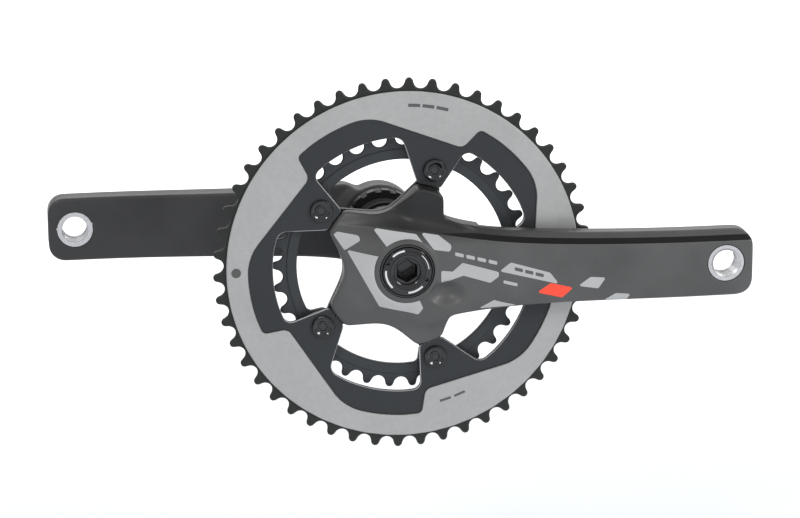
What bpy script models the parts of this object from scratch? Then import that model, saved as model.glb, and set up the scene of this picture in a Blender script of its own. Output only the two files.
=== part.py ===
"""Bicycle crankset: carbon arms with a five-leg spider, two chainrings, spindle and bottom bracket.

Frame: the origin is the centre of the bottom bracket, on the spindle's axis. +X points along
the drive-side arm, -Y towards the drive side and +Z up. Lengths below are millimetres, and the
objects are made in metres. A depth w is a distance outboard from the middle of the bicycle.
"""

import math

import bmesh
import bpy
from mathutils import Vector

MM = 0.001
GAP = 0.3

# Driving dimensions.
CRANK_LENGTH = 172.5
ARM_OVERHANG = 15.0
ARM_OUTER_FACE = 73.0
HUB_OUTER_FACE = 60.0
ARM_THICKNESS = 13.4
ARM_HALF_WIDTH = 18.2
CHAIN_PITCH = 12.7
OUTER_TEETH = 50
INNER_TEETH = 34
BOLT_CIRCLE = 55.0
LEG_COUNT = 5
SHELL_HALF_WIDTH = 34.0
SPINDLE_RADIUS = 12.0

LEG_ANGLES = [leg * 360.0 / LEG_COUNT for leg in range(LEG_COUNT)]
ARM_TIP = CRANK_LENGTH + ARM_OVERHANG

# Depths of the chainring stack.
INNER_RING_BACK = 38.8
INNER_RING_FRONT = 41.6
TAB_BACK = INNER_RING_FRONT + GAP
TAB_FRONT = 44.9
OUTER_RING_BACK = TAB_FRONT + GAP
OUTER_RING_POCKET = 47.8
OUTER_RING_FRONT = 48.8
ARM_BACK_MIN = 50.9

# Outlines of the chainrings.
OUTER_TOOTH_PHASE = 1.5
INNER_TOOTH_PHASE = -0.8
TOOTH_TIP = 2.0
TOOTH_ROOT = 4.0
RAISED_RIM = 96.2
OUTER_WINDOW = 71.0
INNER_WINDOW = 57.5
POCKET_ARC = 84.6
POCKET_LINE = 69.8
POCKET_LINE_TURN = -4.7
POCKET_BLEND = 27.0

# Spider and arms.
LEG_END = 45.5
LEG_HALF_ANGLE = 6.7
WINDOW_END = 48.0
WINDOW_DEPTH = 33.0
WINDOW_POWER = 2.1
ARM_WINDOW_DEPTH = 30.0
ARM_WINDOW_POWER = 2.6
TAB_HALF_WIDTH = 8.2
TIP_CORNER = 9.0
BOLT_HOLE = 5.0
BLIND_HOLE = 4.0
PEDAL_INSERT_RADIUS = 10.0
PEDAL_THREAD_RADIUS = 7.1

# Hub: a raised carbon collar, a metal insert in it, and the bolt under its cap.
COLLAR_RADIUS = 16.9
COLLAR_FACE = HUB_OUTER_FACE + 0.7
INSERT_RADIUS = 14.6
HUB_BORE = INSERT_RADIUS + GAP
INSERT_BACK = 46.5
INSERT_WEB_BACK = 53.0
INSERT_WEB_FRONT = 54.6
INSERT_MOUTH = 13.7
CAP_RADIUS = INSERT_MOUTH - GAP
CAP_FRONT = 61.4
CAP_OPENING = 7.6
CAP_PIN_CIRCLE = 11.6
LEFT_FACE = 60.2
LEFT_SPINDLE_END = 57.5

# Bottom bracket and bearings.
CUP_RADIUS = 22.0
CUP_THREAD_RADIUS = 17.4
CUP_NOTCHES = 16
SEAT_RADIUS = 18.8
RACE_BACK = 37.3
RACE_FRONT = 44.0
BALL_RADIUS = 1.45
BALL_CIRCLE = 15.5
BALL_COUNT = 11

# Chainring bolts and the rivet.
RIVET_RADIUS = 2.6
BOLT_SHANK = 3.2
BOLT_HEAD = 6.2
NUT_SLEEVE = 4.7
NUT_BACK = 36.9


def drive_place(x, w, z):
    """A point of the drive side, where outboard is -Y."""
    return Vector((x, -w, z)) * MM


def left_place(x, w, z):
    """A point of the left side, half a turn round the spindle from the drive side."""
    return Vector((-x, w, -z)) * MM


def polar(radius, degrees):
    angle = math.radians(degrees)
    return radius * math.cos(angle), radius * math.sin(angle)


def arc(radius, start, end, steps, centre=(0.0, 0.0)):
    points = []
    for step in range(steps + 1):
        x, z = polar(radius, start + (end - start) * step / steps)
        points.append((centre[0] + x, centre[1] + z))
    return points


def circle(radius, steps, centre=(0.0, 0.0)):
    return arc(radius, 0.0, 360.0, steps, centre)[:-1]


def rounded(corners, degrees_per_step=20.0):
    """A closed loop through corners (x, z, fillet radius), with each fillet as an arc."""
    loop = []
    for index, (x, z, radius) in enumerate(corners):
        if radius == 0.0:
            loop.append((x, z))
            continue
        here = Vector((x, z))
        to_before = Vector(corners[index - 1][:2]) - here
        to_after = Vector(corners[(index + 1) % len(corners)][:2]) - here
        half = to_before.angle(to_after) / 2.0
        reach = min(radius / math.tan(half), 0.49 * to_before.length, 0.49 * to_after.length)
        middle = (to_before.normalized() + to_after.normalized()).normalized()
        centre = here + middle * reach / math.cos(half)
        start = here + to_before.normalized() * reach - centre
        end = here + to_after.normalized() * reach - centre
        sweep = math.pi - 2.0 * half
        steps = max(1, math.ceil(math.degrees(sweep) / degrees_per_step))
        for step in range(steps + 1):
            turn = sweep * step / steps
            point = centre + (start * math.sin(sweep - turn) + end * math.sin(turn)) / math.sin(sweep)
            loop.append((point.x, point.y))
    return loop


def material(name, color, roughness, metallic=0.0):
    made = bpy.data.materials.new(name)
    made.use_nodes = True
    shader = made.node_tree.nodes["Principled BSDF"]
    shader.inputs["Base Color"].default_value = (*color, 1.0)
    shader.inputs["Roughness"].default_value = roughness
    shader.inputs["Metallic"].default_value = metallic
    return made


def finish(name, bm, surface=None, parent=None):
    """Turn a bmesh into an object. Without a surface it is a guide that only shapes others."""
    bmesh.ops.remove_doubles(bm, verts=bm.verts, dist=0.001 * MM)
    bmesh.ops.recalc_face_normals(bm, faces=bm.faces)
    mesh = bpy.data.meshes.new(name)
    bm.to_mesh(mesh)
    bm.free()
    made = bpy.data.objects.new(name, mesh)
    bpy.context.collection.objects.link(made)
    if surface is None:
        made.hide_render = True
        made.display_type = "WIRE"
    else:
        mesh.materials.append(surface)
        mesh.shade_smooth()
        mesh.set_sharp_from_angle(angle=math.radians(30.0))
    made.parent = parent
    return made


def plate_mesh(loops, back, front, place):
    """A flat plate between two depths. The first loop is its outline, the others are holes."""
    bm = bmesh.new()
    for loop in loops:
        verts = [bm.verts.new(place(x, back, z)) for x, z in loop]
        for index, vert in enumerate(verts):
            bm.edges.new((verts[index - 1], vert))
    bmesh.ops.triangle_fill(bm, use_beauty=True, use_dissolve=False, edges=bm.edges[:])
    grown = bmesh.ops.extrude_face_region(bm, geom=bm.faces[:])
    moved = [item for item in grown["geom"] if isinstance(item, bmesh.types.BMVert)]
    shift = place(0.0, front, 0.0) - place(0.0, back, 0.0)
    bmesh.ops.translate(bm, vec=shift, verts=moved)
    return bm


def terraced_mesh(back, outline, terraces, holes, place):
    """A plate whose front drops or rises at each closed terrace line, from the outline inwards.

    The outline comes as (loop, depth of the front next to it), and so does each terrace line.
    """
    bm = bmesh.new()

    def ring_at(loop, w):
        return [bm.verts.new(place(x, w, z)) for x, z in loop]

    def wall(low, high):
        for index in range(len(low)):
            bm.faces.new((low[index - 1], low[index], high[index], high[index - 1]))

    def floor(rings):
        edges = []
        for ring in rings:
            for index in range(len(ring)):
                edge = bm.edges.get((ring[index - 1], ring[index]))
                edges.append(edge or bm.edges.new((ring[index - 1], ring[index])))
        bmesh.ops.triangle_fill(bm, use_beauty=True, use_dissolve=False, edges=edges)

    loop, front = outline
    back_rings = [ring_at(loop, back)]
    outer = ring_at(loop, front)
    wall(back_rings[0], outer)
    for loop, next_front in terraces:
        here = ring_at(loop, front)
        floor([outer, here])
        outer = ring_at(loop, next_front)
        wall(here, outer)
        front = next_front
    front_holes = []
    for hole in holes:
        back_rings.append(ring_at(hole, back))
        front_holes.append(ring_at(hole, front))
        wall(back_rings[-1], front_holes[-1])
    floor([outer] + front_holes)
    floor(back_rings)
    return bm


def turned_mesh(profile, place, steps=32, centre=(0.0, 0.0), turn=0.0):
    """A profile of (radius, depth) points turned about an axis parallel to the spindle."""
    bm = bmesh.new()
    rings = []
    for step in range(steps):
        ring = []
        for radius, w in profile:
            x, z = polar(radius, turn + 360.0 * step / steps)
            ring.append(bm.verts.new(place(centre[0] + x, w, centre[1] + z)))
        rings.append(ring)
    closed = profile[0][0] > 0.0
    for step in range(steps):
        here = rings[step - 1]
        after = rings[step]
        for index in range(0 if closed else 1, len(profile)):
            bm.faces.new((here[index - 1], here[index], after[index], after[index - 1]))
    return bm


def loft_mesh(sections, place):
    """A skin through sections with equal numbers of (x, w, z) points, closed at both ends."""
    bm = bmesh.new()
    rings = [[bm.verts.new(place(*point)) for point in section] for section in sections]
    for here, after in zip(rings, rings[1:]):
        for index in range(len(here)):
            bm.faces.new((here[index - 1], here[index], after[index], after[index - 1]))
    bm.faces.new(rings[0])
    bm.faces.new(rings[-1])
    return bm


def plate(name, loops, back, front, surface=None, parent=None, place=drive_place):
    return finish(name, plate_mesh(loops, back, front, place), surface, parent)


def turned(name, profile, surface=None, parent=None, place=drive_place, steps=32,
           centre=(0.0, 0.0), turn=0.0):
    return finish(name, turned_mesh(profile, place, steps, centre, turn), surface, parent)


def tube(name, inner, outer, back, front, surface=None, parent=None, place=drive_place, steps=24):
    profile = [(inner, back), (outer, back), (outer, front), (inner, front)]
    return turned(name, profile, surface, parent, place, steps)


def rod(name, radius, back, front, surface=None, parent=None, place=drive_place, steps=24,
        centre=(0.0, 0.0)):
    profile = [(0.0, back), (radius, back), (radius, front), (0.0, front)]
    return turned(name, profile, surface, parent, place, steps, centre)


def combine(target, other, operation):
    modifier = target.modifiers.new(other.name, "BOOLEAN")
    modifier.operation = operation
    modifier.object = other
    modifier.solver = "EXACT"
    other.parent = target.parent


def empty(name, location=(0.0, 0.0, 0.0)):
    made = bpy.data.objects.new(name, None)
    made.location = location
    bpy.context.collection.objects.link(made)
    return made


def toothed_outline(teeth, phase):
    """A chainring's toothed outline: pointed teeth with flat valleys, on the half-inch pitch."""
    pitch_radius = CHAIN_PITCH / (2.0 * math.sin(math.pi / teeth))
    pitch = 360.0 / teeth
    loop = []
    for tooth in range(teeth):
        middle = phase + pitch * tooth
        loop.append(polar(pitch_radius - TOOTH_ROOT, middle - 0.30 * pitch))
        loop.append(polar(pitch_radius + TOOTH_TIP, middle - 0.08 * pitch))
        loop.append(polar(pitch_radius + TOOTH_TIP, middle + 0.08 * pitch))
        loop.append(polar(pitch_radius - TOOTH_ROOT, middle + 0.30 * pitch))
    return loop


def outer_ring_inside():
    """The outer ring's inner edge: round windows between five tabs that reach to the legs."""
    corners = []
    for leg in LEG_ANGLES:
        corners.append((*polar(46.0, leg - 7.8), 2.0))
        corners.append((*polar(46.0, leg + 8.4), 3.0))
        corners.append((*polar(OUTER_WINDOW, leg + 18.5), 8.0))
        corners += [(x, z, 0.0) for x, z in arc(OUTER_WINDOW, leg + 26.0, leg + 54.0, 4)]
        corners.append((*polar(OUTER_WINDOW, leg + 61.2), 8.0))
    return rounded(corners)


def inner_ring_inside():
    """The inner ring's inner edge, with a short tab round each bolt."""
    corners = []
    for leg in LEG_ANGLES:
        corners.append((*polar(48.3, leg - 7.0), 4.0))
        corners.append((*polar(48.3, leg + 7.0), 4.0))
        corners.append((*polar(INNER_WINDOW, leg + 10.0), 3.0))
        corners += [(x, z, 0.0) for x, z in arc(INNER_WINDOW, leg + 16.0, leg + 56.0, 5)]
        corners.append((*polar(INNER_WINDOW, leg + 62.0), 3.0))
    return rounded(corners)


def pocket_outline():
    """The swirled edge between the raised rim and the lower, dark part of the outer ring."""
    blend_reach = POCKET_ARC - POCKET_BLEND
    blend_turn = math.degrees(math.acos((POCKET_LINE - POCKET_BLEND) / blend_reach))
    corners = []
    for leg in LEG_ANGLES:
        normal = leg + POCKET_LINE_TURN
        blend_angle = normal + blend_turn
        corners.append((*polar(71.5, leg - 8.8), 5.0))
        blend = arc(POCKET_BLEND, normal, blend_angle, 5, polar(blend_reach, blend_angle))
        rim = arc(POCKET_ARC, blend_angle, leg + 54.0, 3)
        corners += [(x, z, 0.0) for x, z in blend + rim[1:]]
        corners.append((*polar(POCKET_ARC, leg + 60.3), 3.0))
    return rounded(corners)


def bolt_holes(radius, legs):
    return [circle(radius, 14, polar(BOLT_CIRCLE, leg)) for leg in legs]


def outer_chainring(surface, parent):
    """Ring with thin teeth, a raised rim on its face and a lower pocket inside the rim."""
    teeth = toothed_outline(OUTER_TEETH, OUTER_TOOTH_PHASE)
    terraces = [(circle(RAISED_RIM, 60), OUTER_RING_FRONT), (pocket_outline(), OUTER_RING_POCKET)]
    holes = [outer_ring_inside()] + bolt_holes(BOLT_HOLE, LEG_ANGLES)
    bm = terraced_mesh(OUTER_RING_BACK, (teeth, OUTER_RING_BACK + 2.2), terraces, holes, drive_place)
    return finish("outer_chainring", bm, surface, parent)


def inner_chainring(surface, parent):
    teeth = toothed_outline(INNER_TEETH, INNER_TOOTH_PHASE)
    holes = [inner_ring_inside()] + bolt_holes(BOLT_HOLE, LEG_ANGLES)
    terraces = [(circle(63.0, 48), INNER_RING_FRONT)]
    bm = terraced_mesh(INNER_RING_BACK, (teeth, INNER_RING_BACK + 2.0), terraces, holes, drive_place)
    return finish("inner_chainring", bm, surface, parent)


def arm_top(x):
    return ARM_HALF_WIDTH + 9.8 * math.exp((20.0 - x) / 22.0)


def arm_bottom(x):
    return -ARM_HALF_WIDTH - 9.0 * math.exp((20.0 - x) / 42.0)


def arm_bevel(x):
    return 12.4 + 14.0 / (1.0 + math.exp((x - 20.0) / 20.0))


def arm_front(x):
    """Depth of the arm's outer face, which flares out from the hub to the pedal."""
    t = min(max(x / 165.0, 0.0), 1.0)
    return HUB_OUTER_FACE + (ARM_OUTER_FACE - HUB_OUTER_FACE) * t * t * (3.0 - 2.0 * t)


def arm_back(x):
    return max(ARM_BACK_MIN, arm_front(x) - ARM_THICKNESS)


def arm_section(x, top, bottom, bevel):
    """The arm's cross-section: flat outer face, long bevel on top, round lower and back edges."""
    front = arm_front(x)
    back = arm_back(x)
    return [
        (x, front - 1.3, bottom),
        (x, front, bottom + 1.5),
        (x, front, bevel),
        (x, front - 2.0, top - 0.9),
        (x, front - 4.5, top),
        (x, back + 3.0, top),
        (x, back, top - 3.5),
        (x, back, bottom + 3.5),
        (x, back + 3.0, bottom),
    ]


def arm_sections(flare):
    """Sections from the hub to the rounded tip. The flare widens the arm towards the hub."""
    sections = []
    straight_end = ARM_TIP - TIP_CORNER
    for x in (0.0, 10.0, 20.0, 30.0, 40.0, 52.0, 66.0, 82.0, 100.0, 122.0, 145.0, 165.0, straight_end):
        top = ARM_HALF_WIDTH + flare * (arm_top(max(x, 12.0)) - ARM_HALF_WIDTH)
        bottom = -ARM_HALF_WIDTH + flare * (arm_bottom(max(x, 12.0)) + ARM_HALF_WIDTH)
        sections.append(arm_section(x, top, bottom, min(arm_bevel(x), top - 2.5)))
    for degrees in (25.0, 50.0, 75.0, 90.0):
        inset = TIP_CORNER * (1.0 - math.cos(math.radians(degrees)))
        x = straight_end + TIP_CORNER * math.sin(math.radians(degrees))
        top = arm_top(x) - inset
        bottom = arm_bottom(x) + inset
        sections.append(arm_section(x, top, bottom, min(arm_bevel(x), top - 2.0)))
    return sections


def spider_outline():
    """Five legs with hollow flanks, each ending in a round tab about its chainring bolt.

    The window above the arm is a little deeper than the others.
    """
    loop = []
    half_window = 180.0 / LEG_COUNT - LEG_HALF_ANGLE
    for leg in LEG_ANGLES:
        depth = WINDOW_DEPTH if leg else ARM_WINDOW_DEPTH
        power = WINDOW_POWER if leg else ARM_WINDOW_POWER
        loop += arc(TAB_HALF_WIDTH, leg - 90.0, leg + 90.0, 7, polar(BOLT_CIRCLE, leg))
        for step in range(9):
            across = 2.0 * step / 8.0 - 1.0
            radius = depth + (WINDOW_END - depth) * abs(across) ** power
            loop.append(polar(radius, leg + LEG_HALF_ANGLE + half_window * (1.0 + across)))
    return loop


def spider_envelope():
    """The spider's depth at each radius: raised hub, sloping legs, then thin tabs."""
    profile = [
        (10.0, INSERT_BACK),
        (23.5, INSERT_BACK),
        (25.0, TAB_BACK),
        (66.0, TAB_BACK),
        (66.0, TAB_FRONT),
        (LEG_END, TAB_FRONT),
        (LEG_END, OUTER_RING_FRONT + 0.8),
        (34.0, 54.2),
        (20.0, 59.4),
        (COLLAR_RADIUS + 0.8, HUB_OUTER_FACE),
        (COLLAR_RADIUS, COLLAR_FACE),
        (10.0, COLLAR_FACE),
    ]
    return turned("spider_envelope", profile, steps=40, turn=4.0)


def scoop():
    """The cutter for the hollow between the hub and the arm's lower edge."""
    bm = bmesh.new()
    bmesh.ops.create_icosphere(bm, subdivisions=2, radius=1.0)
    bmesh.ops.scale(bm, vec=(8.0 * MM, 7.0 * MM, 6.0 * MM), verts=bm.verts)
    bmesh.ops.translate(bm, vec=drive_place(21.5, 61.6, -14.0), verts=bm.verts)
    return finish("hub_scoop", bm)


def arm_blade(name, flare, place):
    """The arm from the hub to its tip, with the hole for the pedal insert."""
    blade = finish(name, loft_mesh(arm_sections(flare), place))
    bore = PEDAL_INSERT_RADIUS + GAP
    hole = rod(f"{name}_pedal_hole", bore, 50.0, 80.0, place=place, centre=(CRANK_LENGTH, 0.0))
    combine(blade, hole, "DIFFERENCE")
    return blade


def drive_arm(surface, parent):
    """Carbon arm and spider in one piece. One leg is hidden behind the arm."""
    arm = plate("drive_arm", [spider_outline()], 40.0, 62.0, surface, parent)
    combine(arm, spider_envelope(), "INTERSECT")
    combine(arm, arm_blade("drive_arm_blade", 1.0, drive_place), "UNION")
    boss = rod("hidden_bolt_boss", BLIND_HOLE + 2.8, 48.3, 54.0, centre=(BOLT_CIRCLE, 0.0))
    combine(arm, boss, "UNION")
    combine(arm, scoop(), "DIFFERENCE")
    combine(arm, rod("drive_hub_bore", HUB_BORE, 40.0, 64.0, steps=36), "DIFFERENCE")
    for number, leg in enumerate(LEG_ANGLES):
        hole = rod(f"tab_hole_{number}", BOLT_HOLE, 40.0, 46.0, steps=14, centre=polar(BOLT_CIRCLE, leg))
        combine(arm, hole, "DIFFERENCE")
    blind_hole = rod("blind_bolt_hole", BLIND_HOLE, 47.0, 58.0, steps=14, centre=(BOLT_CIRCLE, 0.0))
    combine(arm, blind_hole, "DIFFERENCE")
    return arm


def left_arm(surface, parent):
    """Carbon arm with a round hub, on the other end of the spindle."""
    hub_profile = [
        (0.0, INSERT_BACK),
        (20.0, INSERT_BACK),
        (22.0, 48.5),
        (22.0, 57.5),
        (20.5, 59.6),
        (17.0, LEFT_FACE),
        (0.0, LEFT_FACE),
    ]
    arm = turned("left_arm", hub_profile, surface, parent, left_place, 36, turn=2.7)
    combine(arm, arm_blade("left_arm_blade", 0.45, left_place), "UNION")
    combine(arm, rod("left_hub_bore", HUB_BORE, 40.0, 64.0, place=left_place, steps=36), "DIFFERENCE")
    return arm


def pedal_insert(name, place, surface, parent):
    """A metal sleeve for the pedal thread, with a thin flange on the arm's outer face."""
    back = ARM_OUTER_FACE - ARM_THICKNESS
    face = ARM_OUTER_FACE - 0.2
    chamfer = 0.6
    profile = [
        (PEDAL_THREAD_RADIUS, back),
        (PEDAL_INSERT_RADIUS, back),
        (PEDAL_INSERT_RADIUS, face),
        (PEDAL_THREAD_RADIUS + chamfer, face),
        (PEDAL_THREAD_RADIUS, face - chamfer),
    ]
    return turned(name, profile, surface, parent, place, 32, (CRANK_LENGTH, 0.0))


def drive_hub_insert(surface, parent):
    """Metal sleeve bonded in the hub, with a web that the crank bolt pulls against."""
    profile = [
        (SPINDLE_RADIUS + GAP, INSERT_BACK),
        (INSERT_RADIUS, INSERT_BACK),
        (INSERT_RADIUS, COLLAR_FACE),
        (INSERT_RADIUS - 0.4, COLLAR_FACE + 0.4),
        (INSERT_MOUTH, COLLAR_FACE + 0.4),
        (INSERT_MOUTH, INSERT_WEB_FRONT),
        (7.2, INSERT_WEB_FRONT),
        (7.2, INSERT_WEB_BACK),
        (SPINDLE_RADIUS + GAP, INSERT_WEB_BACK),
    ]
    return turned("drive_hub_insert", profile, surface, parent, steps=36)


def left_hub_insert(surface, parent):
    bore = SPINDLE_RADIUS + GAP
    front = LEFT_SPINDLE_END + 1.0
    return tube("left_hub_insert", bore, INSERT_RADIUS, INSERT_BACK, front, surface, parent, left_place)


def spindle(surface, parent):
    """Hollow axle from the left arm to the drive arm, narrower inside where the bolt screws in."""
    profile = [
        (9.5, -LEFT_SPINDLE_END),
        (SPINDLE_RADIUS, -LEFT_SPINDLE_END),
        (SPINDLE_RADIUS, INSERT_WEB_BACK - GAP),
        (7.0, INSERT_WEB_BACK - GAP),
        (7.0, 36.0),
        (9.5, 33.0),
    ]
    return turned("spindle", profile, surface, parent)


def crank_bolt(surface, parent):
    """Fixing bolt with a hexagon socket."""
    profile = [
        (0.0, 38.5),
        (6.7, 38.5),
        (6.7, 55.9),
        (8.6, 55.9),
        (8.6, 59.0),
        (8.0, 59.6),
        (0.0, 59.6),
    ]
    bolt = turned("crank_bolt", profile, surface, parent, steps=28)
    socket = plate("crank_bolt_socket", [circle(5.8, 6)], 54.6, 61.0)
    combine(bolt, socket, "DIFFERENCE")
    return bolt


def bolt_washer(surface, parent):
    return tube("bolt_washer", 7.2, 10.5, INSERT_WEB_FRONT + GAP, 55.6, surface, parent)


def extractor_cap(surface, parent):
    """Threaded ring over the crank bolt's head, with two holes for a pin tool."""
    bore = 9.0
    lip = 7.0
    profile = [
        (bore, 56.6),
        (CAP_RADIUS, 56.6),
        (CAP_RADIUS, CAP_FRONT - 0.5),
        (CAP_RADIUS - 0.5, CAP_FRONT),
        (CAP_OPENING, CAP_FRONT),
        (lip, CAP_FRONT - 0.6),
        (lip, CAP_FRONT - 1.5),
        (bore, CAP_FRONT - 1.5),
    ]
    cap = turned("extractor_cap", profile, surface, parent, steps=36)
    for number, degrees in enumerate((155.0, 335.0)):
        centre = polar(CAP_PIN_CIRCLE, degrees)
        hole = rod(f"cap_pin_hole_{number}", 1.1, 58.5, 63.0, steps=10, centre=centre)
        combine(cap, hole, "DIFFERENCE")
    return cap


def left_dust_cap(surface, parent):
    """Plastic plug in the open end of the spindle."""
    stem = 9.2
    flange = 13.8
    profile = [
        (0.0, 50.0),
        (stem, 50.0),
        (stem, LEFT_SPINDLE_END + 1.3),
        (flange, LEFT_SPINDLE_END + 1.3),
        (flange, LEFT_FACE),
        (flange - 0.8, LEFT_FACE + 0.7),
        (0.0, LEFT_FACE + 0.7),
    ]
    return turned("left_dust_cap", profile, surface, parent, left_place, 36)


def chainring_bolt(number, leg, surface, parent):
    """Bolt with a dished head on the outer ring's face, and a shank that ends in the nut."""
    head_back = OUTER_RING_POCKET + GAP
    head_front = head_back + 1.8
    profile = [
        (0.0, 39.6),
        (BOLT_SHANK, 39.6),
        (BOLT_SHANK, head_back),
        (BOLT_HEAD, head_back),
        (BOLT_HEAD, head_front - 0.7),
        (BOLT_HEAD - 0.8, head_front),
        (4.0, head_front),
        (BOLT_SHANK, head_front - 1.2),
        (0.0, head_front - 1.2),
    ]
    name = f"chainring_bolt_{number}"
    return turned(name, profile, surface, parent, steps=12, centre=polar(BOLT_CIRCLE, leg))


def chainring_nut(number, leg, surface, parent):
    """Sleeve nut that passes through both rings and the tab, with its flange behind."""
    sleeve_front = OUTER_RING_POCKET - GAP
    profile = [
        (0.0, NUT_BACK),
        (BOLT_HEAD, NUT_BACK),
        (BOLT_HEAD, INNER_RING_BACK - GAP),
        (NUT_SLEEVE, INNER_RING_BACK - GAP),
        (NUT_SLEEVE, sleeve_front),
        (BOLT_SHANK + GAP, sleeve_front),
        (BOLT_SHANK + GAP, 39.2),
        (0.0, 39.2),
    ]
    name = f"chainring_nut_{number}"
    return turned(name, profile, surface, parent, steps=12, centre=polar(BOLT_CIRCLE, leg))


def hidden_chainring_bolt(surface, parent):
    """The fifth bolt, which comes from behind and screws into the back of the arm."""
    shank = BLIND_HOLE - GAP
    profile = [
        (0.0, NUT_BACK),
        (BOLT_HEAD, NUT_BACK),
        (BOLT_HEAD, INNER_RING_BACK - GAP),
        (shank, INNER_RING_BACK - GAP),
        (shank, 57.0),
        (0.0, 57.0),
    ]
    return turned("hidden_chainring_bolt", profile, surface, parent, steps=14, centre=(BOLT_CIRCLE, 0.0))


def pin_places():
    """Middles of the five shift pins, and of the index rivet opposite the drive arm."""
    shift_pins = [polar(92.0, 56.0 + leg) for leg in LEG_ANGLES]
    return shift_pins, (-91.0, 0.0)


def cup(name, place, surface, parent):
    """Threaded bearing cup: thread in the shell, shoulder against it, notches for the tool."""
    nose = CUP_RADIUS - 1.2
    profile = [
        (16.0, 24.0),
        (CUP_THREAD_RADIUS, 24.0),
        (CUP_THREAD_RADIUS, SHELL_HALF_WIDTH),
        (CUP_RADIUS, SHELL_HALF_WIDTH),
        (CUP_RADIUS, 39.0),
        (nose, 39.6),
        (nose, 45.5),
        (SEAT_RADIUS, 45.5),
        (SEAT_RADIUS, RACE_BACK - GAP),
        (14.5, RACE_BACK - GAP),
        (14.5, 34.5),
        (16.0, 34.5),
    ]
    made = turned(name, profile, surface, parent, place, 28)
    bm = bmesh.new()
    for notch in range(CUP_NOTCHES):
        x, z = polar(CUP_RADIUS + 1.0, (notch + 0.25) * 360.0 / CUP_NOTCHES)
        sides = [(x + dx, z + dz) for dx, dz in circle(2.2, 6)]
        piece = plate_mesh([sides], 35.4, 40.5, place)
        mesh = bpy.data.meshes.new("notch")
        piece.to_mesh(mesh)
        piece.free()
        bm.from_mesh(mesh)
        bpy.data.meshes.remove(mesh)
    combine(made, finish(f"{name}_notches", bm), "DIFFERENCE")
    return made


def center_sleeve(surface, parent):
    """Thin plastic tube between the cups, round the spindle."""
    half_length = SHELL_HALF_WIDTH + 0.2
    return tube("center_sleeve", 15.2, 15.7, -half_length, half_length, surface, parent)


def ball_set(name, place, surface, parent):
    """The balls of one bearing, held together by their cage."""
    middle = (RACE_BACK + RACE_FRONT) / 2.0
    made = tube(name, 14.9, 16.1, middle - 2.2, middle + 2.2, surface, parent, place, 22)
    bm = bmesh.new()
    for ball in range(BALL_COUNT):
        x, z = polar(BALL_CIRCLE, 360.0 * ball / BALL_COUNT + 3.0)
        grown = bmesh.ops.create_icosphere(bm, subdivisions=1, radius=BALL_RADIUS * MM)
        bmesh.ops.translate(bm, vec=place(x, middle, z), verts=grown["verts"])
    combine(made, finish(f"{name}_balls", bm), "UNION")
    return made


def bottom_bracket(steel, alloy, nylon, parent):
    cup("right_cup", drive_place, alloy, parent)
    cup("left_cup", left_place, alloy, parent)
    center_sleeve(nylon, parent)
    race = SEAT_RADIUS - GAP
    seal_back = RACE_FRONT + GAP
    for side, place in (("right", drive_place), ("left", left_place)):
        tube(f"{side}_outer_race", race - 1.25, race, RACE_BACK, RACE_FRONT, steel, parent, place)
        tube(f"{side}_bearing_seal", 12.6, race, seal_back, seal_back + 0.9, nylon, parent, place)


def chainring_fasteners(bolt_black, parent):
    for number, leg in enumerate(LEG_ANGLES[1:], start=1):
        chainring_bolt(number, leg, bolt_black, parent)
        chainring_nut(number, leg, bolt_black, parent)
    hidden_chainring_bolt(bolt_black, parent)


def cut_pin_holes(ring):
    shift_pins, rivet = pin_places()
    for number, place in enumerate(shift_pins, start=1):
        hole = rod(f"shift_pin_hole_{number}", 1.8, 44.0, 50.0, steps=10, centre=place)
        combine(ring, hole, "DIFFERENCE")
    rivet_hole = rod("rivet_hole", RIVET_RADIUS + GAP, 44.0, 50.0, steps=16, centre=rivet)
    combine(ring, rivet_hole, "DIFFERENCE")


def ring_pins(steel, bolt_black, parent):
    """Short pins that lift the chain from ring to ring, and the dark index rivet."""
    shift_pins, rivet = pin_places()
    for number, place in enumerate(shift_pins, start=1):
        rod(f"shift_pin_{number}", 1.5, 43.4, OUTER_RING_FRONT - 0.1, steel, parent, steps=10, centre=place)
    rivet_front = OUTER_RING_FRONT + 0.2
    rod("index_rivet", RIVET_RADIUS, 44.6, rivet_front, bolt_black, parent, steps=16, centre=rivet)


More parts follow.
